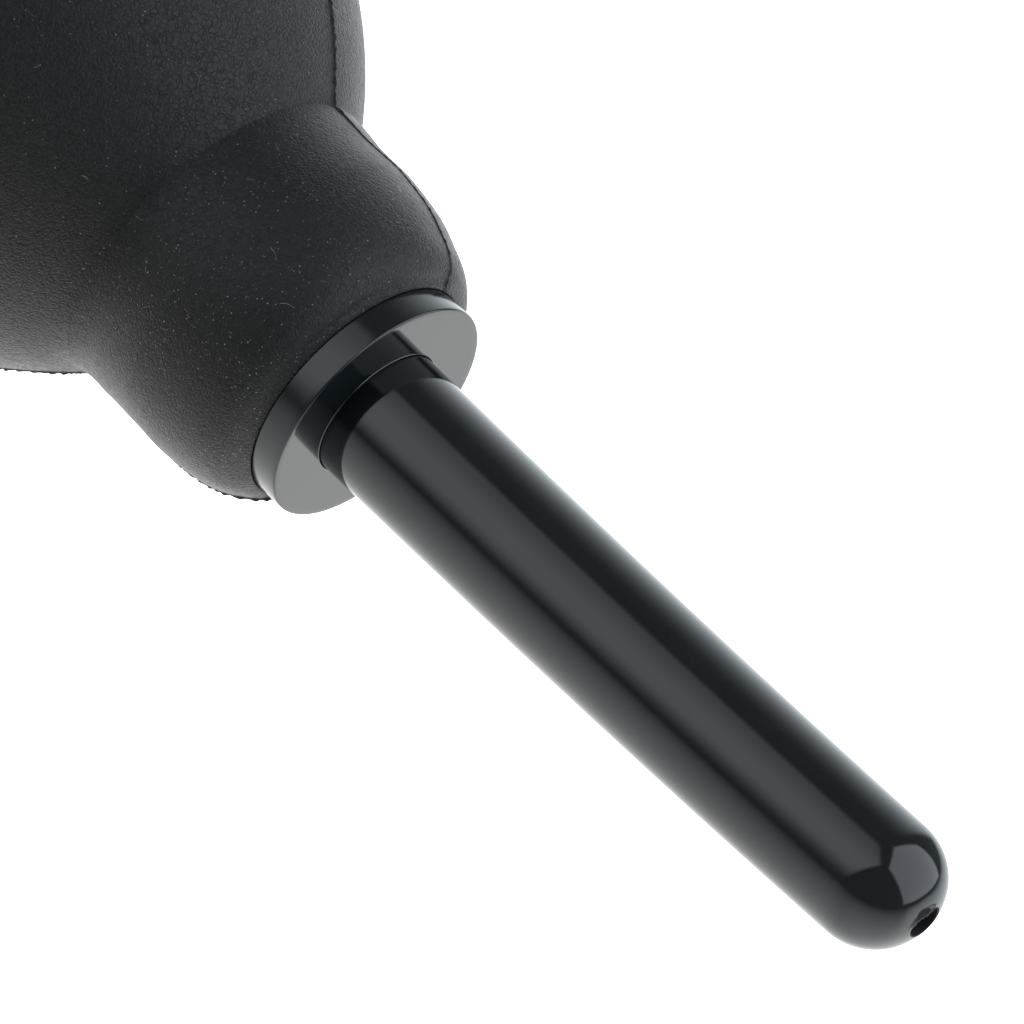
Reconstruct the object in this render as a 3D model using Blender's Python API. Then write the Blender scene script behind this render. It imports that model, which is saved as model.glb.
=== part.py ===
"""Squeeze-bulb dust blower, standing on its flat foot with the nozzle pointing up.

A thick-walled rubber bulb carries a collar plug in its neck. A round-ended
nozzle screws into the plug and seals on a ring. A check valve in the tail lets
air in behind the jet. Metres, +Z up along the axis, origin at the centre of
the foot.
"""

import math

import bmesh
import bpy
from mathutils import Matrix, Vector

MM = 0.001

# Driving dimensions, in millimetres. r is a radius, z a height above the foot.
GAP = 0.3  # clearance between pieces that touch

# collar plug and nozzle
FACE_Z = 96.0  # front face of the collar
COLLAR_R = 9.95
COLLAR_T = 2.9
SOCKET_R = 5.65  # counterbore that takes the nozzle's foot and its seal
SOCKET_DEPTH = 2.3
STEM_R = 6.4
BARB_R = 7.0
STEM_END_Z = 77.6
PLUG_BORE_R = 3.2

NOZZLE_BASE_R = 5.5
NOZZLE_TIP_R = 5.17  # radius of the round end
NOZZLE_LENGTH = 58.9  # collar face to the very end
NOZZLE_SINK = 0.5  # how far the nozzle's foot sits below the collar face
NOZZLE_BORE_R = 2.4
JET_R = 1.25  # outlet hole
ROOT_END_Z = 85.5

THREAD_PITCH = 2.0
THREAD_MEAN_R = 3.6
THREAD_HALF_DEPTH = 0.3
THREAD_CLEARANCE = 0.25

SEAL_R = 4.87  # O-ring centre line
SEAL_WIRE_R = 0.6

# bulb
NECK_END_Z = FACE_Z - COLLAR_T - GAP
NECK_BORE_R = 7.3
NECK_LIP_R = 10.6
NECK_R = 13.75
CREASE_Z = 77.9  # where the neck meets the shoulder
BELLY_R = 28.0
BELLY_Z = 42.0
WALL = 2.7
FOOT_R = 16.5
FOOT_RECESS_R = 11.5
FOOT_RECESS = 2.2
TAIL_BORE_R = 7.0
TAIL_WALL_Z = 6.6  # inner floor of the bulb

# inlet valve
VALVE_FLANGE_R = 11.1
VALVE_FLANGE_Z = (0.5, FOOT_RECESS - GAP)
VALVE_STEM_R = TAIL_BORE_R - GAP
VALVE_BARB_R = 8.0
VALVE_TOP_Z = 12.5
INLET_R = 3.2
CHAMBER_R = 5.4
CHAMBER_FLOOR_Z = 6.0
SEAT_Z = 6.6
DISC_R = 4.7
DISC_T = 0.9
DISC_LIFT = 1.3
CAGE_T = 1.2
SCREEN_T = 0.6
SCREEN_POCKET = (5.2, 1.7)  # radius, top height

NOZZLE_TOP_Z = FACE_Z + NOZZLE_LENGTH


def bezier(p0, p1, p2, p3, steps):
    """Points after p0 along a cubic, in (r, z)."""
    out = []
    for i in range(1, steps + 1):
        t = i / steps
        w = ((1 - t) ** 3, 3 * (1 - t) ** 2 * t, 3 * (1 - t) * t * t, t**3)
        out.append(
            tuple(sum(w[k] * p[j] for k, p in enumerate((p0, p1, p2, p3))) for j in (0, 1))
        )
    return out


def run(p0, p1, step):
    """Points after p0 on a straight line, no further apart than step."""
    n = max(1, math.ceil(math.dist(p0, p1) / step))
    return [
        (p0[0] + (p1[0] - p0[0]) * i / n, p0[1] + (p1[1] - p0[1]) * i / n)
        for i in range(1, n + 1)
    ]


def material(name, colour, roughness, metallic=0.0):
    made = bpy.data.materials.new(name)
    made.use_nodes = True
    shader = made.node_tree.nodes["Principled BSDF"]
    shader.inputs["Base Color"].default_value = (*colour, 1.0)
    shader.inputs["Roughness"].default_value = roughness
    shader.inputs["Metallic"].default_value = metallic
    return made


def add(name, mesh, finish, parent, location=(0.0, 0.0, 0.0)):
    """An object whose mesh is given in the part's frame and whose origin is at location."""
    mesh.transform(Matrix.Translation(-Vector(location)))
    obj = bpy.data.objects.new(name, mesh)
    bpy.context.scene.collection.objects.link(obj)
    mesh.materials.append(finish)
    obj.parent = parent
    base = parent.matrix_world.translation if parent else (0.0, 0.0, 0.0)
    obj.location = [location[i] - base[i] for i in range(3)]
    return obj


def turned(name, profile, segments, closed=True, thread=None):
    """A mesh spun about Z from (r, z) points. Closed profiles make a ring, open ones start and end on the axis.

    thread is (lowest z, highest z, mean radius, widest radius moved): points of
    the profile in that zone follow a right-hand rounded screw thread.
    """
    bm = bmesh.new()
    points = [bm.verts.new((r * MM, 0.0, z * MM)) for r, z in profile]
    edges = [bm.edges.new((points[i], points[i + 1])) for i in range(len(points) - 1)]
    if closed:
        edges.append(bm.edges.new((points[-1], points[0])))
    bmesh.ops.spin(
        bm,
        geom=points + edges,
        cent=(0.0, 0.0, 0.0),
        axis=(0.0, 0.0, 1.0),
        angle=2.0 * math.pi,
        steps=segments,
        use_merge=True,
        use_duplicate=False,
    )
    bmesh.ops.remove_doubles(bm, verts=bm.verts, dist=1e-6)
    if thread:
        low, high, mean, widest = thread
        for v in bm.verts:
            r, z = math.hypot(v.co.x, v.co.y) / MM, v.co.z / MM
            if low < z < high and abs(r - mean) < widest:
                turn = math.atan2(v.co.y, v.co.x) / (2.0 * math.pi)
                fade = min(1.0, (z - low) / 0.8, (high - z) / 0.8)
                ridge = math.cos(2.0 * math.pi * (z / THREAD_PITCH - turn))
                scale = (mean + fade * THREAD_HALF_DEPTH * ridge) / r
                v.co.x *= scale
                v.co.y *= scale
    bmesh.ops.recalc_face_normals(bm, faces=bm.faces)
    mesh = bpy.data.meshes.new(name)
    bm.to_mesh(mesh)
    bm.free()
    mesh.shade_smooth()
    mesh.set_sharp_from_angle(angle=math.radians(32))
    return mesh


def drill(obj, name, holes, z0, z1):
    """Round holes (x, y, r) cut through obj along Z."""
    bm = bmesh.new()
    for x, y, r in holes:
        made = bmesh.ops.create_cone(
            bm, cap_ends=True, segments=10, radius1=r * MM, radius2=r * MM, depth=(z1 - z0) * MM
        )
        bmesh.ops.translate(bm, verts=made["verts"], vec=(x * MM, y * MM, (z0 + z1) / 2 * MM))
    bmesh.ops.recalc_face_normals(bm, faces=bm.faces)
    mesh = bpy.data.meshes.new(name)
    bm.to_mesh(mesh)
    bm.free()
    cutter = bpy.data.objects.new(name, mesh)
    bpy.context.scene.collection.objects.link(cutter)
    cutter.hide_render = True
    cutter.display_type = "WIRE"
    cut = obj.modifiers.new("holes", "BOOLEAN")
    cut.operation = "DIFFERENCE"
    cut.solver = "EXACT"
    cut.object = cutter


def bulb_profile():
    """Neck, shoulder, belly and foot outside, then the tail bore and the air chamber inside."""
    lip = (NECK_LIP_R, NECK_END_Z)
    neck_top = (NECK_R, FACE_Z - 11.0)
    neck_low = (NECK_R - 0.15, CREASE_Z + 1.6)
    shoulder = (NECK_R + 0.55, CREASE_Z - 1.5)
    belly = (BELLY_R, BELLY_Z)
    foot = (FOOT_R, 0.0)
    out = [(NECK_BORE_R, NECK_END_Z), lip]
    out += bezier(lip, (12.4, NECK_END_Z - 0.5), (NECK_R - 0.25, NECK_END_Z - 3.2), neck_top, 6)
    out += [neck_low]
    out += bezier(neck_low, (NECK_R - 0.2, CREASE_Z + 0.3), (NECK_R - 0.05, CREASE_Z - 0.7), shoulder, 4)
    out += bezier(shoulder, (shoulder[0] + 5.7, shoulder[1] - 6.95), (BELLY_R, BELLY_Z + 17.0), belly, 11)
    out += bezier(belly, (BELLY_R, BELLY_Z - 21.5), (23.7, 3.2), foot, 11)
    out += [
        (FOOT_RECESS_R + 0.4, 0.0),
        (FOOT_RECESS_R, 0.4),
        (FOOT_RECESS_R, FOOT_RECESS),
        (TAIL_BORE_R, FOOT_RECESS),
        (TAIL_BORE_R, TAIL_WALL_Z),
    ]
    floor = (12.0, TAIL_WALL_Z)
    inner_belly = (BELLY_R - WALL, BELLY_Z)
    throat = (9.0, CREASE_Z - 3.9)
    out += [floor]
    out += bezier(floor, (20.5, TAIL_WALL_Z), (BELLY_R - WALL, BELLY_Z - 21.5), inner_belly, 6)
    out += bezier(inner_belly, (BELLY_R - WALL, BELLY_Z + 13.5), (16.5, CREASE_Z - 9.9), throat, 6)
    out += [(NECK_BORE_R, CREASE_Z - 2.7)]
    return out


def plug_profile():
    """Collar outside, barbed stem down, then the threaded bore and the socket up the inside."""
    back = FACE_Z - COLLAR_T
    socket = FACE_Z - SOCKET_DEPTH
    inner = THREAD_MEAN_R + THREAD_CLEARANCE
    out = [
        (SOCKET_R + 0.1, FACE_Z),
        (COLLAR_R - 0.15, FACE_Z),
        (COLLAR_R, FACE_Z - 0.15),
        (COLLAR_R, back + 0.2),
        (COLLAR_R - 0.2, back),
        (STEM_R, back),
    ]
    for top in (91.2, 87.0, 82.8):
        out += [(STEM_R, top), (BARB_R, top - 0.5), (BARB_R, top - 0.9), (STEM_R, top - 3.2)]
    out += [
        (STEM_R - 0.9, STEM_END_Z),
        (PLUG_BORE_R, STEM_END_Z),
        (PLUG_BORE_R, ROOT_END_Z - 1.0),
        (inner - 0.2, ROOT_END_Z - 0.5),
    ]
    out += run(out[-1], (inner, ROOT_END_Z), 1.0)
    out += run(out[-1], (inner, socket - 0.7), 0.5)
    out += [
        (THREAD_MEAN_R + 0.65, socket - 0.4),
        (THREAD_MEAN_R + 0.65, socket),
        (SOCKET_R, socket),
        (SOCKET_R, FACE_Z - 0.1),
    ]
    return out


def nozzle_profile():
    """Round end and tapered tube outside, threaded root, then the air passage up the inside."""
    centre = NOZZLE_TOP_Z - NOZZLE_TIP_R
    foot = FACE_Z - NOZZLE_SINK
    start = math.asin((JET_R + 0.2) / NOZZLE_TIP_R)
    out = [(JET_R, centre + NOZZLE_TIP_R * math.cos(start) - 0.2)]
    steps = 9
    for i in range(steps + 1):
        a = start + (math.pi / 2 - start) * i / steps
        out.append((NOZZLE_TIP_R * math.sin(a), centre + NOZZLE_TIP_R * math.cos(a)))
    out += run(out[-1], (NOZZLE_BASE_R, foot + 0.15), 30.0)
    relief = THREAD_MEAN_R + THREAD_HALF_DEPTH + 0.07
    out += [
        (NOZZLE_BASE_R - 0.15, foot),
        (relief, foot),
        (relief, FACE_Z - SOCKET_DEPTH + 0.1),
        (THREAD_MEAN_R, FACE_Z - SOCKET_DEPTH - 0.3),
    ]
    out += run(out[-1], (THREAD_MEAN_R, ROOT_END_Z + 0.6), 0.5)
    out += [
        (THREAD_MEAN_R - 0.6, ROOT_END_Z),
        (NOZZLE_BORE_R, ROOT_END_Z),
        (NOZZLE_BORE_R, NOZZLE_TOP_Z - 7.0),
        (JET_R, NOZZLE_TOP_Z - 3.0),
    ]
    return out


def seal_profile():
    z = FACE_Z - SOCKET_DEPTH + GAP + SEAL_WIRE_R
    return [
        (
            SEAL_R + SEAL_WIRE_R * math.cos(2 * math.pi * i / 10),
            z + SEAL_WIRE_R * math.sin(2 * math.pi * i / 10),
        )
        for i in range(10)
    ]


def valve_body_profile():
    """Flange in the foot's recess, barbed stem through the tail, seat and chamber inside."""
    low, high = VALVE_FLANGE_Z
    pocket_r, pocket_z = SCREEN_POCKET
    return [
        (pocket_r, low),
        (VALVE_FLANGE_R - 0.3, low),
        (VALVE_FLANGE_R, low + 0.3),
        (VALVE_FLANGE_R, high),
        (VALVE_STEM_R, high),
        (VALVE_STEM_R, TAIL_WALL_Z + GAP + 0.1),
        (VALVE_BARB_R, TAIL_WALL_Z + GAP + 0.15),
        (VALVE_BARB_R, TAIL_WALL_Z + 0.8),
        (VALVE_STEM_R - 0.1, VALVE_TOP_Z - 1.6),
        (VALVE_STEM_R - 0.1, VALVE_TOP_Z),
        (CHAMBER_R, VALVE_TOP_Z),
        (CHAMBER_R, CHAMBER_FLOOR_Z),
        (INLET_R + 0.9, CHAMBER_FLOOR_Z),
        (INLET_R + 0.7, SEAT_Z),
        (INLET_R, SEAT_Z),
        (INLET_R, pocket_z),
        (pocket_r, pocket_z),
    ]


def disc_profile():
    low = SEAT_Z + GAP
    top = low + DISC_T
    return [(0.0, low), (DISC_R, low), (DISC_R, top - 0.2), (DISC_R - 0.2, top), (1.1, top), (0.9, top + 0.4), (0.0, top + 0.4)]


def cage_profile():
    """Retainer plate with a central stop for the disc."""
    stop = SEAT_Z + GAP + DISC_T + 0.4 + DISC_LIFT + GAP
    low = stop + 0.6
    r = CHAMBER_R - GAP
    return [
        (0.0, stop),
        (1.4, stop),
        (1.4, low),
        (r, low),
        (r, low + CAGE_T - 0.2),
        (r - 0.2, low + CAGE_T),
        (0.0, low + CAGE_T),
    ]


def screen_profile():
    r = SCREEN_POCKET[0] - GAP
    top = SCREEN_POCKET[1] - GAP
    return [(0.0, top - SCREEN_T), (r, top - SCREEN_T), (r, top), (0.0, top)]


def ring_of(count, radius, hole):
    return [
        (radius * math.cos(2 * math.pi * i / count), radius * math.sin(2 * math.pi * i / count), hole)
        for i in range(count)
    ]


def frame_empty(name, z, parent):
    """An empty on the axis that carries a moving piece."""
    made = bpy.data.objects.new(name, None)
    bpy.context.scene.collection.objects.link(made)
    made.empty_display_size = 0.01
    made.parent = parent
    made.location = (0.0, 0.0, z * MM - (parent.matrix_world.translation.z if parent else 0.0))
    bpy.context.view_layer.update()
    return made


def main():
    for obj in list(bpy.data.objects):
        bpy.data.objects.remove(obj, do_unlink=True)

    rubber = material("black_rubber", (0.021, 0.022, 0.023), 0.62)
    gloss = material("black_gloss_plastic", (0.006, 0.007, 0.008), 0.09)
    satin = material("black_satin_plastic", (0.016, 0.017, 0.018), 0.35)
    soft = material("grey_silicone", (0.11, 0.11, 0.115), 0.5)
    steel = material("steel_mesh", (0.45, 0.45, 0.46), 0.32, 1.0)

    bulb_frame = frame_empty("bulb_frame", 0.0, None)
    valve_axis = frame_empty("valve_axis", SEAT_Z, bulb_frame)
    neck_frame = frame_empty("neck_frame", FACE_Z, bulb_frame)
    nozzle_axis = frame_empty("nozzle_axis", FACE_Z, neck_frame)

    add("bulb", turned("bulb", bulb_profile(), 36), rubber, bulb_frame)

    inner = THREAD_MEAN_R + THREAD_CLEARANCE
    socket = FACE_Z - SOCKET_DEPTH
    add(
        "neck_plug",
        turned("neck_plug", plug_profile(), 24, thread=(ROOT_END_Z - 0.6, socket - 0.5, inner, 0.06)),
        gloss,
        neck_frame,
        (0.0, 0.0, FACE_Z * MM),
    )
    add(
        "nozzle",
        turned(
            "nozzle",
            nozzle_profile(),
            24,
            thread=(ROOT_END_Z + 0.3, socket - 0.2, THREAD_MEAN_R, 0.06),
        ),
        gloss,
        nozzle_axis,
        (0.0, 0.0, FACE_Z * MM),
    )
    add("nozzle_oring", turned("nozzle_oring", seal_profile(), 24), soft, nozzle_axis, (0.0, 0.0, socket * MM))

    add("inlet_valve_body", turned("inlet_valve_body", valve_body_profile(), 24), satin, bulb_frame)
    add(
        "valve_disc",
        turned("valve_disc", disc_profile(), 24, closed=False),
        soft,
        valve_axis,
        (0.0, 0.0, SEAT_Z * MM),
    )
    cage = add("valve_cage", turned("valve_cage", cage_profile(), 24, closed=False), satin, bulb_frame)
    drill(cage, "cage_holes", ring_of(6, 3.2, 1.05), 8.0, 14.0)
    screen = add("inlet_screen", turned("inlet_screen", screen_profile(), 24, closed=False), steel, bulb_frame)
    drill(screen, "screen_holes", [(0.0, 0.0, 0.5)] + ring_of(6, 1.25, 0.42) + ring_of(11, 2.4, 0.42), -1.0, 3.0)


main()
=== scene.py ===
import math

import bmesh
import bpy
import numpy as np
from mathutils import Matrix, Vector


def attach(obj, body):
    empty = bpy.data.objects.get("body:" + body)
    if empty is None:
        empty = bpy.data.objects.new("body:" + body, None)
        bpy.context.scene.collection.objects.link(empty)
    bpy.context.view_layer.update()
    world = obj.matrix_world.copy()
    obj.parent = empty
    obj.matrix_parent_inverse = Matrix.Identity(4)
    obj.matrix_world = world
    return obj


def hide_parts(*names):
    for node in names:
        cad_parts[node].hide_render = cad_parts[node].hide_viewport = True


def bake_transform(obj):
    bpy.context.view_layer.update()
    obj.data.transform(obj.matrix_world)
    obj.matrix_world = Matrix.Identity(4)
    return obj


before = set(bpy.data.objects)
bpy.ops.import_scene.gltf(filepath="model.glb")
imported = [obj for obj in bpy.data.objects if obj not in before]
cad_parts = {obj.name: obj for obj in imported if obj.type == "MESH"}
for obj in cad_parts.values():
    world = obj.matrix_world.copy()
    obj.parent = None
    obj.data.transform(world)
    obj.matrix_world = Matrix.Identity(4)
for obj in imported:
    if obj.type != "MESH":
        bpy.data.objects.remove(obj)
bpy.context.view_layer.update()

MM = 0.001
scene = bpy.context.scene

# ---------------------------------------------------------------- view of the photograph
# The picture is taken to be 1024 x 1024. The collar's face lies at FACE_PX, the
# axis runs to the lower right and leans towards the camera.
FOCAL_PX = 10000.0
LEAN = math.radians(22.97)  # axis out of the picture plane
TURN = math.radians(43.22)  # axis direction in the picture, from right towards down
SEAM = math.radians(75.0)  # parting line, from the side that faces the camera
FACE_PX = (376.7, 412.9)
DEPTH = 0.7397
FACE_Z = 0.096

# camera-space vectors: x right, y down, z forward
AXIS = np.array([math.cos(LEAN) * math.cos(TURN), math.cos(LEAN) * math.sin(TURN), -math.sin(LEAN)])
SIDE = np.array([math.sin(TURN), -math.cos(TURN), 0.0])
FACING = np.array([-math.sin(LEAN) * math.cos(TURN), -math.sin(LEAN) * math.sin(TURN), -math.cos(LEAN)])
ROW_X = -(math.cos(SEAM) * FACING + math.sin(SEAM) * SIDE)
ROW_Y = math.cos(SEAM) * SIDE - math.sin(SEAM) * FACING
TO_ROW = np.array([ROW_X, ROW_Y, AXIS])  # camera-space to row frame

SIDE_ROW = TO_ROW @ SIDE  # towards the picture's upper right
FACE_ROW = TO_ROW @ FACING  # level, towards the camera


def way(azimuth, elevation):
    """A direction in the row frame; azimuth 0 is towards the camera and 90 towards the picture's upper right."""
    a, e = math.radians(azimuth), math.radians(elevation)
    flat = math.cos(a) * FACE_ROW + math.sin(a) * SIDE_ROW
    return np.array([flat[0] * math.cos(e), flat[1] * math.cos(e), math.sin(e)])


def make_camera():
    data = bpy.data.cameras.new("camera")
    data.sensor_width = 36.0
    data.lens = FOCAL_PX * 36.0 / 1024.0
    data.clip_start, data.clip_end = 0.05, 30.0
    cam = bpy.data.objects.new("camera", data)
    scene.collection.objects.link(cam)
    right, down, ahead = TO_ROW[:, 0], TO_ROW[:, 1], TO_ROW[:, 2]
    at = np.array(
        [(FACE_PX[0] - 512.0) / FOCAL_PX * DEPTH, (FACE_PX[1] - 512.0) / FOCAL_PX * DEPTH, DEPTH]
    )
    place = np.array([0.0, 0.0, FACE_Z]) - TO_ROW @ at
    m = Matrix.Identity(4)
    for i in range(3):
        m[i][0], m[i][1], m[i][2], m[i][3] = right[i], -down[i], -ahead[i], place[i]
    cam.matrix_world = m
    scene.camera = cam
    return cam


# ---------------------------------------------------------------- small helpers
def wave(seed, count, low, high):
    """A smooth repeatable 1-D wobble made of sines, about -1 to 1. low and high are wavelengths."""
    rng = np.random.default_rng(seed)
    length = np.exp(rng.uniform(math.log(low), math.log(high), count))
    phase = rng.uniform(0, 2 * math.pi, count)
    gain = (length / high) ** 0.35
    total = math.sqrt(float((gain**2).sum()) / 2)
    return lambda s: sum(g * np.sin(2 * math.pi * s / w + p) for g, w, p in zip(gain, length, phase)) / total / 1.6


def bezier(p0, p1, p2, p3, steps):
    t = np.linspace(0.0, 1.0, steps + 1)[1:, None]
    p0, p1, p2, p3 = (np.array(p, float) for p in (p0, p1, p2, p3))
    return (1 - t) ** 3 * p0 + 3 * (1 - t) ** 2 * t * p1 + 3 * (1 - t) * t * t * p2 + t**3 * p3


def arc(centre, radius, a0, a1, steps):
    a = np.radians(np.linspace(a0, a1, steps + 1))
    return np.c_[centre[0] + radius * np.cos(a), centre[1] + radius * np.sin(a)]


def line(p0, p1, steps):
    t = np.linspace(0.0, 1.0, steps + 1)[1:, None]
    return np.array(p0, float) * (1 - t) + np.array(p1, float) * t


def smooth(x, lo, hi):
    t = np.clip((x - lo) / (hi - lo), 0.0, 1.0)
    return t * t * (3 - 2 * t)


def loops_to_mesh(name, rings, closed):
    """A mesh from rings of points (rows x columns x 3, metres), wrapped round the columns and, if closed, round the rows."""
    rows, cols = rings.shape[:2]
    index = np.arange(rows * cols).reshape(rows, cols)
    a = index if closed else index[:-1]
    b = np.roll(index, -1, 0) if closed else index[1:]
    quads = np.stack([a, np.roll(a, -1, 1), np.roll(b, -1, 1), b], -1).reshape(-1, 4)
    mesh = bpy.data.meshes.new(name)
    mesh.from_pydata(rings.reshape(-1, 3).tolist(), [], quads.tolist())
    bm = bmesh.new()
    bm.from_mesh(mesh)
    bmesh.ops.recalc_face_normals(bm, faces=bm.faces)
    bm.to_mesh(mesh)
    bm.free()
    mesh.shade_smooth()
    return mesh


def turned(name, profile, cols, sharp=40.0):
    """A closed (r, z) profile in millimetres, turned about Z."""
    th = np.linspace(0.0, 2 * math.pi, cols, endpoint=False)
    p = np.array(profile, float) * MM
    rings = np.stack(
        [p[:, :1] * np.cos(th)[None], p[:, :1] * np.sin(th)[None], np.repeat(p[:, 1:], cols, 1)], -1
    )
    mesh = loops_to_mesh(name, rings, True)
    mesh.set_sharp_from_angle(angle=math.radians(sharp))
    return mesh


def place(name, mesh):
    obj = bpy.data.objects.new(name, mesh)
    scene.collection.objects.link(obj)
    return obj


# ---------------------------------------------------------------- the rubber bulb
NECK_END = 92.8
MOUTH = 92.45  # seat of the collar
LIP = 93.6  # rim that stands up round the collar
CREASE = 76.95
BELLY_R, BELLY_Z = 28.0, 42.0
FOOT_R = 16.5


def bulb_profile():
    """(r, z, kind) down the outside from the neck's lip, over the foot, and up the inside. kind 1 is the skin, 0 the rest."""
    lip = (10.07, LIP)
    edge = (11.95, LIP - 1.5)
    neck_top = (13.8, 84.0)
    crease = (13.55, CREASE)
    shoulder = (13.85, CREASE - 0.5)
    belly = (BELLY_R, BELLY_Z)
    skin = [np.array([(10.0, LIP - 0.3), (10.005, LIP - 0.12), (10.025, LIP - 0.03), lip])]
    skin.append(bezier(lip, (10.7, LIP - 0.13), (11.35, LIP - 0.78), edge, 14))
    skin.append(bezier(edge, (12.65, LIP - 2.33), (13.5, LIP - 4.6), neck_top, 44))
    skin.append(bezier(neck_top, (13.88, 82.8), (13.45, 80.0), crease, 30))
    skin.append(bezier(crease, (13.54, CREASE - 0.2), (13.6, CREASE - 0.22), shoulder, 7))
    skin.append(bezier(shoulder, (shoulder[0] + 6.25, shoulder[1] - 6.05), (BELLY_R, BELLY_Z + 17.0), belly, 116))
    skin.append(bezier(belly, (BELLY_R, BELLY_Z - 21.5), (23.7, 2.6), (FOOT_R + 0.7, 0.28), 92))
    skin.append(bezier((FOOT_R + 0.7, 0.28), (FOOT_R + 0.35, 0.1), (FOOT_R + 0.1, 0.0), (FOOT_R - 0.3, 0.0), 5))
    skin = np.concatenate(skin)
    rest = [line((FOOT_R - 0.3, 0.0), (12.1, 0.0), 4)]
    rest.append(arc((12.1, 0.6), 0.6, -90, -180, 4)[1:])
    rest.append(line((11.5, 0.6), (11.5, 2.2), 2))
    rest.append(line((11.5, 2.2), (7.0, 2.2), 3))
    rest.append(line((7.0, 2.2), (7.0, 6.6), 3))
    rest.append(line((7.0, 6.6), (12.0, 6.6), 2))
    rest.append(bezier((12.0, 6.6), (20.5, 6.6), (25.3, 20.5), (25.3, 42.0), 14))
    rest.append(bezier((25.3, 42.0), (25.3, 55.5), (16.5, 68.0), (9.0, 74.0), 14))
    rest.append(line((9.0, 74.0), (7.3, 75.2), 1))
    rest.append(line((7.3, 75.2), (7.3, MOUTH - 0.35), 6))
    rest.append(arc((7.65, MOUTH - 0.35), 0.35, 180, 90, 3)[1:])
    rest.append(line((7.65, MOUTH), (9.99, MOUTH), 3))
    rest = np.concatenate(rest)
    kind = np.r_[np.ones(len(skin)), np.zeros(len(rest))]
    return np.c_[np.concatenate([skin, rest]), kind]


def seam_columns(r):
    """Angles round one ring, close together at the parting line (angles 0 and pi), offsets in millimetres."""
    near = np.array([0.0, 0.05, 0.1, 0.15, 0.21, 0.3, 0.5, 0.85]) / max(r, 4.0)
    mid = np.linspace(near[-1], math.pi - near[-1], 128)[1:-1]
    half = np.r_[near, mid, math.pi - near[:0:-1]]
    return np.r_[half, half + math.pi]


def lean_of(z):
    """Sideways shift of the bulb's middle line and its slope, at height z: the neck sits a few degrees out of true."""
    tilt, straight, length = math.tan(math.radians(4.1)), 20.0, NECK_END - 20.0
    d = np.clip(NECK_END - z, 0.0, NECK_END)
    t = np.clip((d - straight) / length, 0.0, 1.0)
    back = t * t * (3 - 2 * t)
    shift = (tilt * d + 0.08 * smooth(d, 0.5, 5.5)) * (1 - back)
    slope = tilt * ((1 - back) - d * 6 * t * (1 - t) / length)
    return shift, slope


WANDER = math.radians(8.0)


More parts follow.
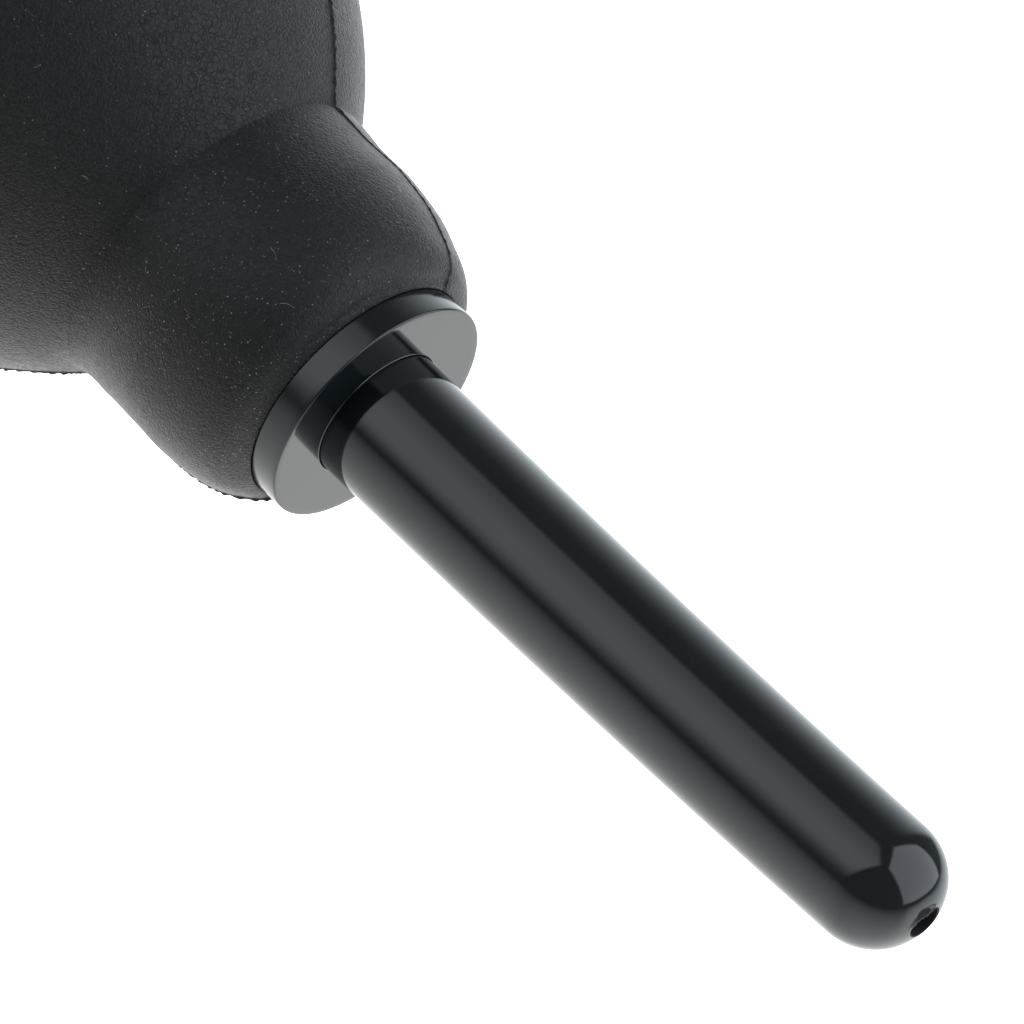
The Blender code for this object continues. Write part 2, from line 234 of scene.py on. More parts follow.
def make_bulb():
    prof = bulb_profile()
    r, z, kind = prof[:, 0], prof[:, 1], prof[:, 2]
    ds = np.r_[0.0, np.cumsum(np.hypot(np.diff(r), np.diff(z)))]
    tr, tz = np.gradient(r), np.gradient(z)
    n = np.hypot(tr, tz)
    nr, nz = -tz / n, tr / n
    th = np.array([seam_columns(x) for x in r])
    here = ds - ds[np.argmin(np.where(kind > 0, np.abs(z - (CREASE - 0.2)), 99.0))]
    # the parting line wanders on the neck, on either side
    far_stray = -WANDER * np.where(kind > 0, smooth(ds, 0.5, 4.5) * (1 - smooth(ds, 7.0, 13.0)), 0.0)
    near_stray = -np.radians(2.5 + 4.5 * smooth(-here, 1.0, 8.5)) * kind * smooth(z, 2.0, 20.0)
    th = th + far_stray[:, None] * 0.5 * (1 + np.cos(th)) + near_stray[:, None] * 0.5 * (1 - np.cos(th))
    # flash on the parting line: a thin ragged fin
    fin = np.zeros_like(th)
    side = []
    for k, (seam, seed) in enumerate(((0.0, 11), (math.pi, 23))):
        rough, swell, drift = wave(seed, 30, 0.45, 1.4), wave(seed + 1, 7, 5.0, 22.0), wave(seed + 2, 9, 1.5, 9.0)
        stray = (far_stray, near_stray)[k][:, None]
        away = (np.angle(np.exp(1j * (th - seam - stray)))) * r[:, None] * (-1 if k else 1)
        side.append(away)
        away = away - 0.035 * drift(ds)[:, None]
        low, more = ((0.11, 0.08), (0.17, 0.075))[k]
        tall = np.clip(low + 0.03 * swell(ds) + more * rough(ds), 0.02, 0.34)
        # on the neck's near side it was trimmed
        left = 1 - 0.55 * smooth(-here, 0.0, 2.5) * kind if k else np.ones(len(ds))
        fin += (tall * left)[:, None] * np.exp(-((np.abs(away) / (0.11 - 0.05 * (1 - left[:, None]))) ** 2.4))
        # the two mould halves don't close quite flush
        fin += 0.03 * np.tanh(away / 0.1) * np.exp(-((away / 2.4) ** 2))
    on_skin = kind * smooth(ds, 0.2, 0.9) * smooth(z, 0.1, 1.5)
    # slow unevenness of a soft moulding
    a, b, c = wave(5, 6, 14.0, 60.0), wave(6, 6, 14.0, 60.0), wave(7, 5, 12.0, 50.0)
    x0, y0 = r[:, None] * np.cos(th), r[:, None] * np.sin(th)
    lump = 0.03 * (a(x0 + 0.6 * z[:, None]) + b(y0 - 0.4 * z[:, None]) + c(z[:, None] + 0.5 * x0 * 0.3))
    lump *= (kind * smooth(ds, 0.0, 3.0) * smooth(z, 0.5, 6.0))[:, None]
    push = fin * on_skin[:, None] + lump
    turn = np.degrees(np.arctan2(np.cos(th) * SIDE_ROW[0] + np.sin(th) * SIDE_ROW[1], np.cos(th) * FACE_ROW[0] + np.sin(th) * FACE_ROW[1]))
    soft = np.where(turn < 0, smooth(-turn, 0.0, 65.0), smooth(turn, 110.0, 180.0))
    fill = (0.2 / 2.8) * np.maximum(2.8 - np.abs(here), 0.0) ** 2 * kind
    # at the back the neck widens into the shoulder and the corner stays crisp: it slides down the shoulder's slope
    behind = np.where(turn < 0, smooth(-turn, 72.0, 98.0), smooth(turn, 130.0, 180.0))
    slide = np.where(here < 0, np.maximum(1 + here / 4.5, 0.0) ** 2, np.maximum(1 - here / 3.2, 0.0) ** 2) * kind
    slide = slide[:, None] * (1.05 * behind + 0.35 * np.where(turn > 0, smooth(turn, 84.0, 104.0), 0.0) * (1 - behind))
    soft = soft * (1 - behind)
    # the neck's foot is fuller than its middle, more so on the far side
    waist = 0.165 * np.exp(-(((here + 7.2) / 1.5) ** 2)) - 0.2 * np.exp(-(((here + 3.0) / 1.45) ** 2))
    waist = (kind * waist)[:, None] * np.where(turn < 0, smooth(-turn, 50.0, 95.0), smooth(turn, 130.0, 180.0))
    waist -= 0.2 * (kind * np.exp(-(((here + 1.6) / 1.7) ** 2)))[:, None] * smooth(turn, 60.0, 85.0) * (1 - smooth(turn, 115.0, 150.0))
    waist += 0.2 * (kind * np.exp(-(((ds - 2.4) / 1.6) ** 2)))[:, None] * smooth(-turn, 78.0, 100.0) * (1 - smooth(-turn, 125.0, 160.0))
    rr = r[:, None] + nr[:, None] * push + 0.93 * fill[:, None] * soft + 0.718 * slide - waist
    zz = z[:, None] + nz[:, None] * push + 0.36 * fill[:, None] * soft - 0.696 * slide
    # one half of the lip is moulded taller than the other
    taller = 0.5 * (1 + np.tanh((np.minimum(side[0], side[1]) - 0.1) / 0.22))
    zz = zz + 0.1 * taller * (kind * (1 - smooth(ds, 0.4, 4.0)))[:, None]
    facing = 1 - smooth(np.abs(turn), 55.0, 105.0)
    zz = zz - 0.2 * facing * (kind * np.exp(-(((ds - 1.0) / 0.6) ** 2)))[:, None]
    beyond = smooth(turn, 45.0, 90.0) * (1 - smooth(turn, 140.0, 175.0))
    rr = rr + beyond * (kind * (0.15 * np.exp(-(((ds - 1.9) / 1.0) ** 2)) - 0.15 * np.exp(-(((ds - 5.2) / 1.7) ** 2))))[:, None]
    # lean: the skin follows the bent middle line, the bores stay true to the axis
    shift, slope = lean_of(z)
    slope = slope * (0.36 + 0.36 * smooth(ds, 0.3, 2.6) + 0.28 * smooth(NECK_END - z, -1.0, 6.0))
    shift = shift - 0.12 * kind * np.exp(-(((ds - 2.2) / 1.1) ** 2))
    follow = np.where(kind > 0, 1.0, (1.0 - smooth(z, 64.0, 74.0)) * smooth(z, 4.0, 14.0))
    follow = np.where((kind < 1) & (z > NECK_END - 0.6), 0.0, follow)
    shift, tilt = shift * follow, np.arctan(slope) * follow
    u = rr * (np.cos(th) * SIDE_ROW[0] + np.sin(th) * SIDE_ROW[1])
    v = rr * (-np.cos(th) * SIDE_ROW[1] + np.sin(th) * SIDE_ROW[0])
    u2 = shift[:, None] + u * np.cos(tilt)[:, None] - (zz - z[:, None]) * np.sin(tilt)[:, None]
    z2 = z[:, None] + u * np.sin(tilt)[:, None] + (zz - z[:, None]) * np.cos(tilt)[:, None]
    rings = np.stack(
        [u2 * SIDE_ROW[0] - v * SIDE_ROW[1], u2 * SIDE_ROW[1] + v * SIDE_ROW[0], z2], -1
    )
    # the lip clears the collar's edge all round
    far = np.hypot(rings[..., 0], rings[..., 1])
    close = (kind[:, None] > 0) & (rings[..., 2] > 80.0) & (far < 10.0)
    grow = np.where(close, 10.0 / far, 1.0)
    rings[..., 0] *= grow
    rings[..., 1] *= grow
    mesh = loops_to_mesh("bulb_skin", rings * MM, True)
    mesh.set_sharp_from_angle(angle=math.radians(75))
    return place("bulb_skin", mesh)


# ---------------------------------------------------------------- collar plug and nozzle
COLLAR_TILT = math.radians(1.3)


def ridge(z, th, low, high):
    """Right-hand screw thread of 2 mm pitch: how far a point at height z and angle th stands out from the mean radius."""
    fade = smooth(z, low, low + 0.9) * (1 - smooth(z, high - 0.9, high))
    return 0.3 * fade * np.cos(2 * math.pi * z / 2.0 - th)


def collar_profile():
    r, e = 9.96, 0.16
    top, back = 96.0, 96.0 - 2.9
    p = [np.array([(5.585, top - 0.03), (5.6, top + 0.03), (5.66, top + 0.055), (5.705, top + 0.03), (5.73, top)])]
    p.append(line((5.73, top), (r - e, top), 10))
    p.append(arc((r - e, top - e), e, 90, 0, 5)[1:])
    p.append(line((r, top - e), (r + 0.01, back + e), 5))
    p.append(arc((r + 0.01 - e, back + e), e, 0, -90, 5)[1:])
    p.append(line((r - e, back), (6.5, back), 4))
    for z in (91.2, 87.0, 82.8):
        p.append(np.array([(6.4, z + 0.1), (6.45, z), (7.0, z - 0.5), (7.0, z - 0.9), (6.4, z - 3.2)]))
    p.append(np.array([(5.5, 77.6), (3.2, 77.6), (3.2, 84.4), (3.5, 84.7), (3.85, 84.9)]))
    p.append(line((3.85, 84.9), (3.85, 93.0), 81))
    p.append(np.array([(4.25, 93.3), (4.25, 93.7), (5.65, 93.7), (5.65, 95.5)]))
    return np.concatenate(p)


def make_collar():
    mesh = turned("collar_plug", collar_profile(), 192, 50.0)
    # the flange sits slightly out of square; the stem below it is true
    co = np.empty(len(mesh.vertices) * 3, np.float32)
    mesh.vertices.foreach_get("co", co)
    co = co.reshape(-1, 3)
    r, th = np.hypot(co[:, 0], co[:, 1]), np.arctan2(co[:, 1], co[:, 0])
    bore = np.abs(r - 3.85 * MM) < 0.02 * MM
    out = ridge(co[:, 2] / MM, th, 84.9, 93.0) + 0.3 * smooth(co[:, 2] / MM, 92.1, 93.0)
    grow = np.where(bore, 1 + out * MM / r, 1.0)
    co[:, 0] *= grow
    co[:, 1] *= grow
    along = co[:, 0] * SIDE_ROW[0] + co[:, 1] * SIDE_ROW[1]
    co[:, 2] += math.tan(COLLAR_TILT) * along * smooth(co[:, 2] / MM, 91.6, 93.0)
    mesh.vertices.foreach_set("co", co.ravel())
    mesh.update()
    return place("collar_plug", mesh)


TIP_R, BASE_R, NOZZLE_LENGTH, JET_R = 5.225, 5.555, 58.9, 1.4


# where the burr stands: just inside the near edge of the outlet
OUTLET = -0.12 * np.array([*FACE_ROW[:2], 0.0]) + 0.36 * np.array([*SIDE_ROW[:2], 0.0])
TORN = OUTLET + np.array([0.0, 0.0, 154.75]) + 1.22 * np.array([*FACE_ROW[:2], 0.0]) + 0.31 * np.array([*SIDE_ROW[:2], 0.0])


def make_nozzle():
    cols = 192
    top = 96.0 + NOZZLE_LENGTH
    centre = top - TIP_R
    a0 = math.asin((JET_R + 0.05) / TIP_R)
    tip = np.array([(TIP_R * math.sin(a), centre + TIP_R * math.cos(a)) for a in np.r_[np.linspace(a0, a0 + 0.12, 9)[:-1], np.linspace(a0 + 0.12, math.pi / 2, 44)]])
    tip[:, 1] -= 0.16 * np.exp(-((tip[:, 0] / 2.4) ** 2))  # the end is a little flatter than a ball
    rim_z = tip[0][1]
    tube = line(tip[-1], (BASE_R, 95.62), 60)
    root = np.concatenate([
        np.array([(5.52, 95.53), (5.44, 95.5), (3.97, 95.5), (3.97, 93.8), (3.6, 93.4)]),
        line((3.6, 93.4), (3.6, 86.1), 73),
        np.array([(3.0, 85.5), (2.4, 85.5)]),
    ])
    bore = np.concatenate([line((2.4, 85.5), (2.4, top - 7.0), 6), line((2.4, top - 7.0), (1.3, top - 3.0), 5)])
    # the outlet: a crisp edge, with a torn burr standing on one side of it
    web = np.array([(1.34, rim_z - 0.9), (1.34, rim_z - 0.5), (1.34, rim_z - 0.2), (1.34, rim_z - 0.05), (1.37, rim_z - 0.03), (JET_R, rim_z - 0.02)])
    into = np.array([0.0, 0.3, 0.8, 1.0, 0.75, 0.4])
    raised = np.array([0.0, 0.0, 0.55, 1.0, 1.0, 0.95])
    edge = np.array([(JET_R + 0.015, rim_z - 0.01), (JET_R + 0.035, rim_z - 0.002)])
    p = np.concatenate([tip, tube, root, bore, web, edge])
    first = len(tip) + len(tube) + len(root) + len(bore)
    th = np.linspace(0.0, 2 * math.pi, cols, endpoint=False)
    r = np.repeat(p[:, :1], cols, 1)
    z = np.repeat(p[:, 1:], cols, 1)
    toward = math.atan2(FACE_ROW[1] + 0.35 * SIDE_ROW[1], FACE_ROW[0] + 0.35 * SIDE_ROW[0])
    turn = np.angle(np.exp(1j * (th - toward)))
    ragged = wave(31, 14, 0.22, 1.6)(th)
    burr = np.exp(-np.abs(turn / 0.95) ** 3.0) * (1 + 0.28 * ragged)
    rows = np.zeros(len(p))
    rows[: len(tip)] = 1 - smooth(tip[:, 0], JET_R + 0.08, 1.72)
    rows[first : first + len(web)] = raised
    rows[first + len(web) :] = 0.95
    z = z + 0.2 * rows[:, None] * np.maximum(burr, 0.0)[None]
    pull = np.zeros(len(p))
    pull[first : first + len(web)] = into
    pull[first + len(web) :] = 0.3
    pull[: len(tip)] = 0.25 * (1 - smooth(tip[:, 0], JET_R, 1.8))
    r = r - pull[:, None] * (0.34 * np.maximum(burr, 0.0) + 0.02 * np.abs(ragged))[None]
    high = smooth(p[:, 1], rim_z - 2.6, rim_z - 0.9)
    x_off = 0.12 * high * (1 - smooth(p[:, 0], JET_R, 2.6))
    screwed = (p[:, 1] < 93.41) & (np.abs(p[:, 0] - 3.6) < 0.01)
    r = r + np.where(screwed[:, None], ridge(z, th[None], 86.1, 93.4) - 0.3 * (1 - smooth(z, 86.1, 87.0)), 0.0)
    x, y = r * np.cos(th)[None], r * np.sin(th)[None]
    # the long tube is very slightly bowed
    d = np.clip(p[:, 1] - 96.0, 0.0, NOZZLE_LENGTH)
    bow = -0.012865 * d + 2.5785e-4 * d**2 + 1.0905e-6 * d**3
    x = x + bow[:, None] * SIDE_ROW[0] - x_off[:, None] * FACE_ROW[0]
    y = y + bow[:, None] * SIDE_ROW[1] - x_off[:, None] * FACE_ROW[1]
    rings = np.stack([x, y, z], -1) * MM
    mesh = loops_to_mesh("nozzle_tube", rings, True)
    mesh.set_sharp_from_angle(angle=math.radians(38))
    return place("nozzle_tube", mesh)


# ---------------------------------------------------------------- materials
class Nodes:
    """Short hand for building a material's nodes."""

    def __init__(self, name):
        self.mat = bpy.data.materials.new(name)
        self.mat.use_nodes = True
        self.tree = self.mat.node_tree
        self.shader = self.tree.nodes["Principled BSDF"]

    def node(self, kind, **settings):
        made = self.tree.nodes.new(kind)
        for key, value in settings.items():
            if key in made.inputs.keys() and not hasattr(made, key):
                made.inputs[key].default_value = value
            else:
                setattr(made, key, value)
        return made

    def link(self, a, b):
        self.tree.links.new(a, b)

    def coords(self):
        return self.node("ShaderNodeTexCoord").outputs["Object"]

    def noise(self, vec, scale, detail=2.0, rough=0.5, distortion=0.0):
        t = self.node("ShaderNodeTexNoise")
        t.inputs["Scale"].default_value = scale
        t.inputs["Detail"].default_value = detail
        t.inputs["Roughness"].default_value = rough
        t.inputs["Distortion"].default_value = distortion
        self.link(vec, t.inputs["Vector"])
        return t.outputs["Fac"]

    def voronoi(self, vec, scale, feature="F1", randomness=1.0, smoothness=None):
        t = self.node("ShaderNodeTexVoronoi", feature=feature)
        t.inputs["Scale"].default_value = scale
        t.inputs["Randomness"].default_value = randomness
        if smoothness is not None:
            t.inputs["Smoothness"].default_value = smoothness
        self.link(vec, t.inputs["Vector"])
        return t

    def math(self, op, a, b=None, c=None, clamp=False):
        m = self.node("ShaderNodeMath", operation=op, use_clamp=clamp)
        for i, v in enumerate((a, b, c)):
            if v is None:
                continue
            if isinstance(v, (int, float)):
                m.inputs[i].default_value = v
            else:
                self.link(v, m.inputs[i])
        return m.outputs[0]

    def remap(self, value, a, b, c, d, kind="LINEAR"):
        m = self.node("ShaderNodeMapRange", interpolation_type=kind)
        for i, v in zip((1, 2, 3, 4), (a, b, c, d)):
            m.inputs[i].default_value = v
        self.link(value, m.inputs[0])
        return m.outputs[0]

    def mix(self, fac, a, b):
        m = self.node("ShaderNodeMix", data_type="RGBA")
        self.link(fac, m.inputs[0])
        for socket, v in ((m.inputs[6], a), (m.inputs[7], b)):
            if isinstance(v, tuple):
                socket.default_value = (*v, 1.0)
            else:
                self.link(v, socket)
        return m.outputs[2]

    def bump(self, height, strength, distance, before=None):
        b = self.node("ShaderNodeBump")
        b.inputs["Strength"].default_value = strength
        b.inputs["Distance"].default_value = distance
        self.link(height, b.inputs["Height"])
        if before is not None:
            self.link(before, b.inputs["Normal"])
        return b.outputs["Normal"]


def rubber():
    """Matte moulded rubber: a fine pebble grain, coarser on the body than on the neck, with painted shade in its
    grooves, and a little dust and lint.
    """
    m = Nodes("grained_rubber")
    at = m.coords()
    split = m.node("ShaderNodeSeparateXYZ")
    m.link(at, split.inputs[0])
    neck = m.remap(split.outputs[2], 0.074, 0.08, 0.0, 1.0, "SMOOTHSTEP")
    stir = m.node("ShaderNodeTexNoise")
    stir.inputs["Scale"].default_value = 2500.0
    stir.inputs["Detail"].default_value = 2.0
    m.link(at, stir.inputs["Vector"])
    off = m.node("ShaderNodeVectorMath", operation="SUBTRACT")
    m.link(stir.outputs["Color"], off.inputs[0])
    off.inputs[1].default_value = (0.5, 0.5, 0.5)
    bent = m.node("ShaderNodeVectorMath", operation="MULTIPLY_ADD")
    m.link(off.outputs[0], bent.inputs[0])
    bent.inputs[1].default_value = (0.0005, 0.0005, 0.0005)
    m.link(at, bent.inputs[2])
    gap = m.voronoi(bent.outputs[0], 2500.0, "DISTANCE_TO_EDGE", 1.0).outputs["Distance"]
    broken = m.remap(m.noise(at, 1500.0, 2.0), 0.38, 0.62, 0.4, 1.0)
    groove = m.math("MULTIPLY", m.remap(gap, 0.02, 0.2, 1.0, 0.0, "SMOOTHSTEP"), broken)
    groove = m.math("MULTIPLY", groove, m.remap(neck, 0.0, 1.0, 1.0, 0.6))
    fine = m.noise(at, 4300.0, 3.0, 0.6)
    broad = m.noise(at, 60.0, 3.0, 0.55)
    grain = m.math("SUBTRACT", m.math("MULTIPLY", fine, 0.55), groove)
    normal = m.bump(grain, 0.85, 0.000064)
    # dust: small pale specks, most of them on the neck
    speck = m.voronoi(at, 2500.0, "F1", 1.0)
    pick = m.node("ShaderNodeSeparateColor")
    m.link(speck.outputs["Color"], pick.inputs[0])
    # more of it on one side of the neck
    toward = m.node("ShaderNodeVectorMath", operation="DOT_PRODUCT")
    m.link(at, toward.inputs[0])
    toward.inputs[1].default_value = tuple((-SIDE_ROW + 0.3 * FACE_ROW).tolist())
    lee = m.math("MULTIPLY", m.remap(toward.outputs["Value"], 0.001, 0.011, 0.0, 1.0, "SMOOTHSTEP"), neck)
    size = m.math("MULTIPLY_ADD", lee, 0.02, m.remap(pick.outputs[2], 0.0, 1.0, 0.05, 0.12))
    near = m.math("LESS_THAN", speck.outputs["Distance"], size)
    drift = m.math("MULTIPLY", m.remap(m.noise(at, 120.0, 2.0), 0.35, 0.65, 0.2, 1.0), m.remap(neck, 0.0, 1.0, 0.22, 1.0))
    dust = m.math("MULTIPLY", near, m.math("LESS_THAN", pick.outputs[0], drift))
    powder = m.voronoi(at, 3900.0, "F1", 1.0)
    lots = m.node("ShaderNodeSeparateColor")
    m.link(powder.outputs["Color"], lots.inputs[0])
    grit = m.math("LESS_THAN", powder.outputs["Distance"], m.remap(lots.outputs[2], 0.0, 1.0, 0.07, 0.2))
    share = m.math("MULTIPLY", m.remap(m.noise(at, 170.0, 2.0), 0.38, 0.62, 0.08, 0.5), m.remap(neck, 0.0, 1.0, 0.25, 1.0))
    share = m.math("MULTIPLY_ADD", lee, m.remap(m.noise(at, 320.0, 2.0), 0.45, 0.62, 0.0, 0.6), share)
    grit = m.math("MULTIPLY", m.math("MULTIPLY", grit, m.math("LESS_THAN", lots.outputs[0], share)), m.remap(lots.outputs[1], 0.0, 1.0, 0.1, 0.5))
    # lint: short thin hairs, one to a patch, each in its own direction
    plot = m.voronoi(at, 420.0, "F1", 1.0)
    lot = m.node("ShaderNodeSeparateColor")
    m.link(plot.outputs["Color"], lot.inputs[0])
    local = m.node("ShaderNodeVectorMath", operation="SUBTRACT")
    m.link(at, local.inputs[0])
    m.link(plot.outputs["Position"], local.inputs[1])
    aim = m.node("ShaderNodeVectorMath", operation="SUBTRACT")
    m.link(plot.outputs["Color"], aim.inputs[0])
    aim.inputs[1].default_value = (0.5, 0.5, 0.5)
    unit = m.node("ShaderNodeVectorMath", operation="NORMALIZE")
    m.link(aim.outputs[0], unit.inputs[0])
    slice_ = m.node("ShaderNodeVectorMath", operation="DOT_PRODUCT")
    m.link(local.outputs[0], slice_.inputs[0])
    m.link(unit.outputs[0], slice_.inputs[1])
    curl = m.math("MULTIPLY", m.math("SUBTRACT", m.noise(at, 900.0, 1.0), 0.5), 0.0005)
    thin = m.math("LESS_THAN", m.math("ABSOLUTE", m.math("ADD", slice_.outputs["Value"], curl)), 0.000013)
    lint = m.math("MULTIPLY", thin, m.math("LESS_THAN", plot.outputs["Distance"], m.remap(lot.outputs[1], 0.0, 1.0, 0.08, 0.24)))
    lint = m.math("MULTIPLY", lint, m.math("LESS_THAN", lot.outputs[0], m.math("MULTIPLY_ADD", lee, 0.25, m.remap(neck, 0.0, 1.0, 0.06, 0.32))))
    pale = m.math("MAXIMUM", m.math("MULTIPLY", dust, m.remap(pick.outputs[1], 0.0, 1.0, 0.06, 0.52)), m.math("MULTIPLY", lint, 0.3))
    pale = m.math("MAXIMUM", pale, grit)
    tone = m.mix(m.remap(broad, 0.3, 0.7, 0.0, 1.0), (0.0026, 0.0029, 0.003), (0.0042, 0.0046, 0.0047))
    # painted shade: the grain's grooves get a darker base colour, standing in for shade in the recesses
    tone = m.mix(m.remap(groove, 0.0, 0.8, 0.0, 1.0), tone, (0.0016, 0.0018, 0.0019))
    tone = m.mix(pale, tone, (0.3, 0.28, 0.24))
    m.link(tone, m.shader.inputs["Base Color"])
    m.link(m.math("ADD", m.remap(groove, 0.0, 0.8, 0.385, 0.51), m.remap(fine, 0.3, 0.7, -0.03, 0.07)), m.shader.inputs["Roughness"])
    m.shader.inputs["IOR"].default_value = 1.32
    m.shader.inputs["Sheen Weight"].default_value = 0.128
    m.shader.inputs["Sheen Roughness"].default_value = 0.36
    m.link(normal, m.shader.inputs["Normal"])
    return m.mat


def gloss(name="polished_plastic", satin_by=0.0):
    """Polished black moulding: faint flow ripples, hairline scuffs and specks."""
    m = Nodes(name)
    at = m.coords()
    ripple = m.noise(at, 95.0, 2.0, 0.45)
    haze = m.noise(at, 240.0, 4.0, 0.6)
    stretch = m.node("ShaderNodeMapping")
    stretch.inputs["Scale"].default_value = (1.0, 1.0, 0.06)
    stretch.inputs["Rotation"].default_value = (0.12, 0.05, 0.0)
    m.link(at, stretch.inputs["Vector"])
    hair = m.remap(m.noise(stretch.outputs[0], 3400.0, 2.0, 0.5), 0.63, 0.74, 0.0, 1.0)
    hair = m.math("MULTIPLY", hair, m.remap(m.noise(at, 150.0, 1.0), 0.5, 0.66, 0.0, 1.0))
    normal = m.bump(ripple, 0.22, 0.00012)
    normal = m.bump(hair, 0.06, 0.00001, normal)
    speck = m.voronoi(at, 420.0, "F1", 1.0)
    pick = m.node("ShaderNodeSeparateColor")
    m.link(speck.outputs["Color"], pick.inputs[0])
    dust = m.math(
        "MULTIPLY",
        m.math("LESS_THAN", speck.outputs["Distance"], 0.035),
        m.math("LESS_THAN", pick.outputs[0], 0.12),
    )
    tone = m.mix(m.remap(haze, 0.3, 0.7, 0.0, 1.0), (0.0014, 0.0026, 0.0034), (0.0022, 0.0038, 0.0048))
    tone = m.mix(m.math("MULTIPLY", dust, 0.35), tone, (0.2, 0.18, 0.14))
    m.link(tone, m.shader.inputs["Base Color"])
    rough = m.math("ADD", m.remap(haze, 0.3, 0.75, 0.055, 0.085), m.math("MULTIPLY", hair, 0.07))
    if satin_by:
        # the turned edge is duller than the face
        faces = m.node("ShaderNodeSeparateXYZ")
        m.link(m.node("ShaderNodeTexCoord").outputs["Normal"], faces.inputs[0])
        rough = m.math("ADD", rough, m.remap(faces.outputs[2], 0.8, 0.97, satin_by, 0.012))
    rough = m.math("ADD", rough, m.math("MULTIPLY", dust, 0.4))
    # torn plastic round the outlet is dull
    worn = m.math("MULTIPLY", m.noise(at, 2600.0, 2.0), 0.0003)
    from_tip = m.node("ShaderNodeVectorMath", operation="DISTANCE")
    m.link(at, from_tip.inputs[0])
    from_tip.inputs[1].default_value = tuple((TORN * MM).tolist())
    flat = m.node("ShaderNodeVectorMath", operation="MULTIPLY_ADD")
    m.link(at, flat.inputs[0])
    flat.inputs[1].default_value = (1.0, 1.0, 0.0)
    flat.inputs[2].default_value = tuple((-OUTLET * MM).tolist())
    round_ = m.node("ShaderNodeVectorMath", operation="LENGTH")
    m.link(flat.outputs[0], round_.inputs[0])
    split = m.node("ShaderNodeSeparateXYZ")
    m.link(at, split.inputs[0])
    inside = m.math("MULTIPLY", m.math("LESS_THAN", round_.outputs["Value"], 0.00145), m.math("GREATER_THAN", split.outputs[2], 0.1525))
    dull = m.remap(m.math("ADD", from_tip.outputs["Value"], worn), 0.00078, 0.00086, 1.0, 0.0)
    dull = m.math("MAXIMUM", dull, inside)
    m.link(m.math("ADD", rough, m.math("MULTIPLY", dull, 0.85)), m.shader.inputs["Roughness"])
    m.shader.inputs["IOR"].default_value = 1.5
    m.link(normal, m.shader.inputs["Normal"])
    return m.mat


def satin():
    """Satin black moulding with a fine spark-eroded texture."""
    m = Nodes("satin_plastic")
    at = m.coords()
    fine = m.noise(at, 3800.0, 3.0, 0.6)
    broad = m.noise(at, 160.0, 3.0)
    m.link(m.mix(broad, (0.012, 0.0128, 0.0135), (0.02, 0.021, 0.022)), m.shader.inputs["Base Color"])
    m.link(m.remap(fine, 0.3, 0.7, 0.32, 0.46), m.shader.inputs["Roughness"])
    m.link(m.bump(fine, 0.3, 0.00002), m.shader.inputs["Normal"])
    return m.mat


def silicone():
    """Soft grey seal rubber with talc in its pores."""
    m = Nodes("seal_silicone")
    at = m.coords()
    pore = m.noise(at, 4200.0, 2.0, 0.6)
    broad = m.noise(at, 300.0, 3.0)
    m.link(m.mix(broad, (0.085, 0.086, 0.09), (0.13, 0.13, 0.135)), m.shader.inputs["Base Color"])
    m.link(m.remap(pore, 0.3, 0.7, 0.42, 0.6), m.shader.inputs["Roughness"])
    m.link(m.bump(pore, 0.25, 0.00002), m.shader.inputs["Normal"])
    return m.mat


def steel():
    """Perforated stainless sheet, brushed one way."""
    m = Nodes("screen_steel")
    at = m.coords()
    stretch = m.node("ShaderNodeMapping")
    stretch.inputs["Scale"].default_value = (0.08, 1.0, 1.0)
    m.link(at, stretch.inputs["Vector"])
    brush = m.noise(stretch.outputs[0], 6000.0, 3.0, 0.6)
    m.link(m.mix(brush, (0.4, 0.4, 0.41), (0.52, 0.52, 0.53)), m.shader.inputs["Base Color"])
    m.link(m.remap(brush, 0.3, 0.7, 0.24, 0.4), m.shader.inputs["Roughness"])
    m.link(m.bump(brush, 0.2, 0.00001), m.shader.inputs["Normal"])
    m.shader.inputs["Metallic"].default_value = 1.0
    return m.mat


def dress(obj, mat):
    obj.data.materials.clear()
    obj.data.materials.append(mat)


# ---------------------------------------------------------------- floor and light
def only_mirrored(obj):
    """A card that shows in reflections and nowhere else."""
    obj.visible_camera = False
    obj.visible_diffuse = False
    obj.visible_transmission = False
    obj.visible_volume_scatter = False
    obj.visible_shadow = False


def glow(name, strength, colour=(1.0, 1.0, 1.0)):
    mat = bpy.data.materials.new(name)
    mat.use_nodes = True
    tree = mat.node_tree
    tree.nodes.clear()
    out = tree.nodes.new("ShaderNodeOutputMaterial")
    emit = tree.nodes.new("ShaderNodeEmission")
    emit.inputs["Color"].default_value = (*colour, 1.0)
    emit.inputs["Strength"].default_value = strength
    tree.links.new(emit.outputs[0], out.inputs[0])
    return mat, tree, emit


CENTRE = np.array([0.0, 0.0, 0.118])


def soft_box(ways, corners, widths):
    """How far inside a soft-edged light each direction lies, 0 to 1. corners are (azimuth, elevation), widths the softness of each edge in degrees."""
    c = np.array([way(a, e) for a, e in corners])
    middle = c.mean(0)
    inside = np.full(len(ways), 9.0)
    for i, w in enumerate(widths):
        m = np.cross(c[i], c[(i + 1) % len(c)])
        m /= np.linalg.norm(m)
        m *= np.sign(m @ middle)
        inside = np.minimum(inside, np.degrees(np.arcsin(np.clip(ways @ m, -1, 1))) / w)
    return smooth(inside, -1.0, 1.0)


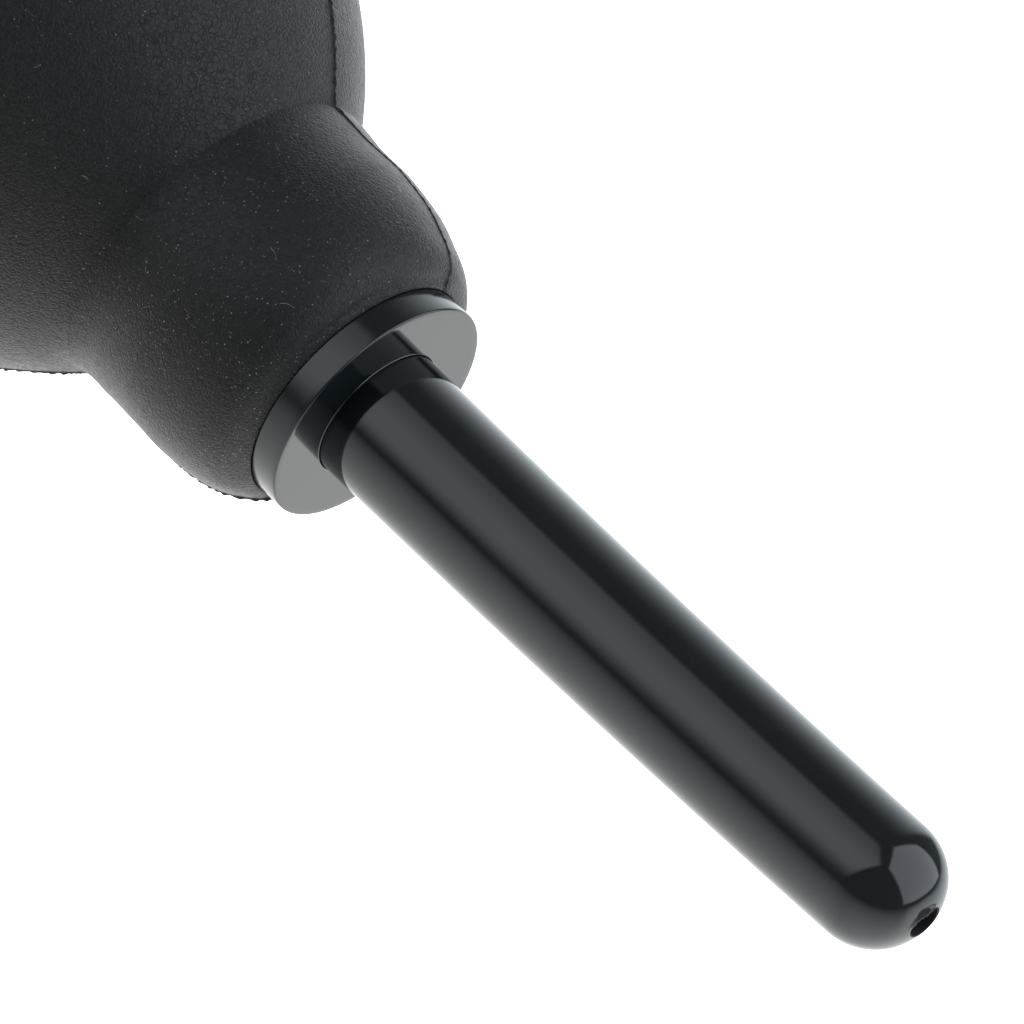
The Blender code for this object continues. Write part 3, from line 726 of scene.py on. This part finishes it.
def studio(ways):
    """Light that arrives from each direction: a pale sweep behind and to the left, a dim room in front, two soft boxes."""
    e, n = ways @ FACE_ROW, ways @ SIDE_ROW
    az, el = np.degrees(np.arctan2(n, e)), np.degrees(np.arcsin(np.clip(ways[:, 2], -1, 1)))
    dim = 0.23
    past = np.degrees(np.arcsin(np.clip(ways @ way(-134.0, -4.0), -1, 1)))
    right = np.where(az > 0, smooth(az, 60.0, 110.0), 1 - smooth(az + 180.0, 0.0, 60.0))
    reach = 22.0 - 16.0 * right
    pale = 1.5 * np.where(past > 0, 1 - np.exp(-np.maximum(past, 0) / reach), 0.0)
    pale = pale * (1 + 0.2 * smooth(el, 2.0, 24.0))
    low = 1.55 * smooth(np.where(az < -100, az + 360, az), 70.0, 142.0) * (1 - smooth(el, -13.0, -4.0)) * (az > 0)
    base = dim + np.maximum(pale, low)
    fall = 1.0 - 0.42 * smooth(az, 4.0, 44.0)
    box_low = soft_box(
        ways,
        ((45, -62), (45, -23), (40, -12), (20, 10), (-15, -10), (-27, -23), (-38, -62)),
        (4.5, 4.5, 4.5, 3.0, 12.0, 12.0, 12.0),
    )
    box_high = soft_box(ways, ((56, 0), (27, 23), (-20, 85), (135, 28), (95, 7)), (2.5, 2.5, 2.0, 2.0, 2.5))
    cool = smooth(az, -60.0, 20.0)[:, None] * (1 - smooth(np.abs(az), 150.0, 180.0))[:, None]
    light = base[:, None] * (1 + cool * np.array([-0.09, 0.0, 0.045]))
    light += box_low[:, None] * (1.62 * fall[:, None] * np.array([0.96, 1.0, 1.05]) - light)
    light += box_high[:, None] * ((2.2 + 0.25 * smooth(az, 40.0, 110.0))[:, None] * np.array([0.93, 0.97, 1.06]) - light)
    return light


def make_stage():
    # floor
    bm = bmesh.new()
    bmesh.ops.create_circle(bm, cap_ends=True, segments=96, radius=6.0)
    mesh = bpy.data.meshes.new("floor")
    bm.to_mesh(mesh)
    bm.free()
    floor = place("floor", mesh)
    pale = Nodes("pale_floor")
    at = pale.coords()
    pale.link(pale.mix(pale.noise(at, 9.0, 4.0), (0.86, 0.86, 0.86), (0.9, 0.9, 0.9)), pale.shader.inputs["Base Color"])
    pale.shader.inputs["Roughness"].default_value = 0.7
    mesh.materials.append(pale.mat)
    floor.visible_glossy = False

    # world: even white, not mirrored
    world = bpy.data.worlds.new("studio")
    scene.world = world
    world.use_nodes = True
    back = world.node_tree.nodes["Background"]
    back.inputs["Color"].default_value = (1.0, 1.0, 1.0, 1.0)
    back.inputs["Strength"].default_value = 1.0
    world.cycles_visibility.glossy = False

    # soft overhead and side light for the floor and the matte surfaces
    def area(name, azimuth, elevation, distance, size, power):
        data = bpy.data.lights.new(name, "AREA")
        data.shape = "DISK"
        data.size = size
        data.energy = power
        obj = bpy.data.objects.new(name, data)
        scene.collection.objects.link(obj)
        at = CENTRE * 0.5 + distance * way(azimuth, elevation)
        obj.location = at
        obj.rotation_mode = "QUATERNION"
        obj.rotation_quaternion = (Vector(at) - Vector(CENTRE * 0.5)).to_track_quat("Z", "Y")
        obj.visible_glossy = False
        obj.visible_camera = False
        return obj

    area("overhead", 160.0, 72.0, 1.6, 1.6, 60.0)
    area("right_fill", 95.0, 35.0, 1.4, 0.9, 3.0)
    area("left_fill", -125.0, 12.0, 1.4, 0.9, 14.0)

    # what the polished parts mirror
    bm = bmesh.new()
    bmesh.ops.create_uvsphere(bm, u_segments=288, v_segments=144, radius=1.2)
    mesh = bpy.data.meshes.new("studio")
    bm.to_mesh(mesh)
    bm.free()
    co = np.empty(len(mesh.vertices) * 3)
    mesh.vertices.foreach_get("co", co)
    light = studio(co.reshape(-1, 3) / 1.2)
    shade = mesh.attributes.new("light", "FLOAT_COLOR", "POINT")
    shade.data.foreach_set("color", np.c_[light, np.ones(len(light))].astype(np.float32).ravel())
    dome = place("studio", mesh)
    dome.location = CENTRE
    mat, tree, emit = glow("studio", 1.0)
    read = tree.nodes.new("ShaderNodeAttribute")
    read.attribute_name = "light"
    tree.links.new(read.outputs["Color"], emit.inputs["Color"])
    mesh.materials.append(mat)
    only_mirrored(dome)


# ---------------------------------------------------------------- assembly
make_camera()
make_stage()

skin_mat, gloss_mat, collar_mat = rubber(), gloss(), gloss("collar_plastic", 0.07)
satin_mat, silicone_mat, steel_mat = satin(), silicone(), steel()

bulb = make_bulb()
dress(bulb, skin_mat)
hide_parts("bulb")
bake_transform(bulb)

collar = make_collar()
dress(collar, collar_mat)
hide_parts("neck_plug")
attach(collar, "neck")

nozzle = make_nozzle()
dress(nozzle, gloss_mat)
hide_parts("nozzle")
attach(nozzle, "nozzle")

for node, mat in (
    ("nozzle_oring", silicone_mat),
    ("valve_disc", silicone_mat),
    ("inlet_valve_body", satin_mat),
    ("valve_cage", satin_mat),
    ("inlet_screen", steel_mat),
):
    dress(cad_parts[node], mat)

scene.view_settings.view_transform = "Standard"
scene.view_settings.look = "None"
